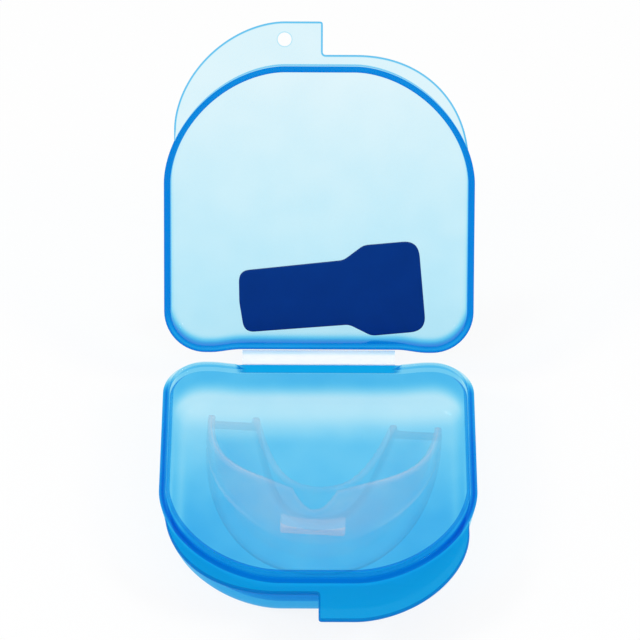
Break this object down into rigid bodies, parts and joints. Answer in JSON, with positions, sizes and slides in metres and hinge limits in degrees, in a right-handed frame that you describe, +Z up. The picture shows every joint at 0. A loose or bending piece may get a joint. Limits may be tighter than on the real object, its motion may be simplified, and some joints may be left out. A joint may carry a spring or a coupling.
{
  "type": "mouthguard with case",
  "caption": "Clear U-shaped mouthguard in an open D-shaped translucent blue case with a film hinge, thumb tabs and a flat navy fitting handle in the lid",
  "frame": {"origin": "middle of the case plan, on the flat underside of the base", "axes": "X to the right seen from the front, Y from the thumb tab of the base towards the hinge and lid, Z up"},
  "size_m": [0.0806, 0.1417, 0.0852],
  "materials": {
    "base_polypropylene": "moulded translucent blue, glossy",
    "lid_polypropylene": "moulded translucent blue, glossy",
    "film_polypropylene": "thin moulded film, pale from bending",
    "guard_clear": "clear soft polymer, smooth",
    "handle_plastic": "navy moulded, satin"
  },
  "bodies": {
    "base": {"case_base": "base_polypropylene", "hinge_film": "film_polypropylene"},
    "lid": {"case_lid": "lid_polypropylene"},
    "guard": {"mouthguard": "guard_clear"},
    "handle": {"fitting_handle": "handle_plastic"}
  },
  "joints": [
    {"name": "lid_hinge", "type": "hinge", "parent": "base", "child": "lid", "pos_m": [0, 0.0389, 0.01515], "axis": [-1, 0, 0], "range_deg": [-127, 53], "deforming": ["hinge_film"]},
    {"name": "mouthguard_lift", "type": "slide", "parent": "base", "child": "guard", "axis": [0, 0, 1], "range_m": [0, 0.045]},
    {"name": "handle_lift", "type": "slide", "parent": "lid", "child": "handle", "axis": [0, -0.7986, 0.6018], "range_m": [0, 0.05]}
  ]
}
